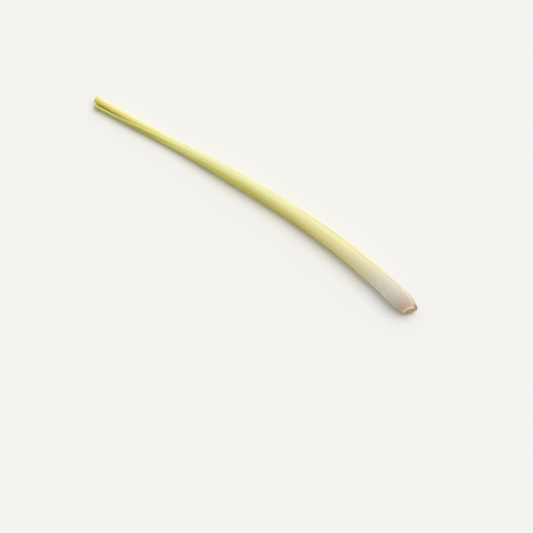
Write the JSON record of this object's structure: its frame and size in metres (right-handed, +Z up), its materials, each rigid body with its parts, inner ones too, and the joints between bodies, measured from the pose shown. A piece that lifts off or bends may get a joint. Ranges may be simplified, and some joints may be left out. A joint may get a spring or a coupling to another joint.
{
  "type": "lemongrass stalk",
  "caption": "Trimmed lemongrass stalk lying on its side: layered leaf sheaths round a tight inner roll, swollen pale base with a cut root end, leaf end cut across",
  "frame": {"origin": "under the middle of the stalk, on the surface it lies on", "axes": "X along the stalk, root end at +X and cut leaf end at -X; the middle of the stalk bends towards +Y; +Z up"},
  "size_m": [0.2394, 0.0186, 0.0116],
  "materials": {
    "culm": "dull cut stem, fibrous",
    "young_leaves": "pale yellow-green leaf, satin",
    "inner_leaf": "pale yellow leaf sheath, satin, fine ribs along it",
    "outer_leaf": "yellow-green leaf sheath, satin, fine ribs along it, whiter and faintly lilac at the root end"
  },
  "bodies": {
    "root": {"culm_base": "culm", "inner_roll": "young_leaves", "second_sheath": "inner_leaf", "outer_sheath": "outer_leaf"}
  },
  "joints": []
}
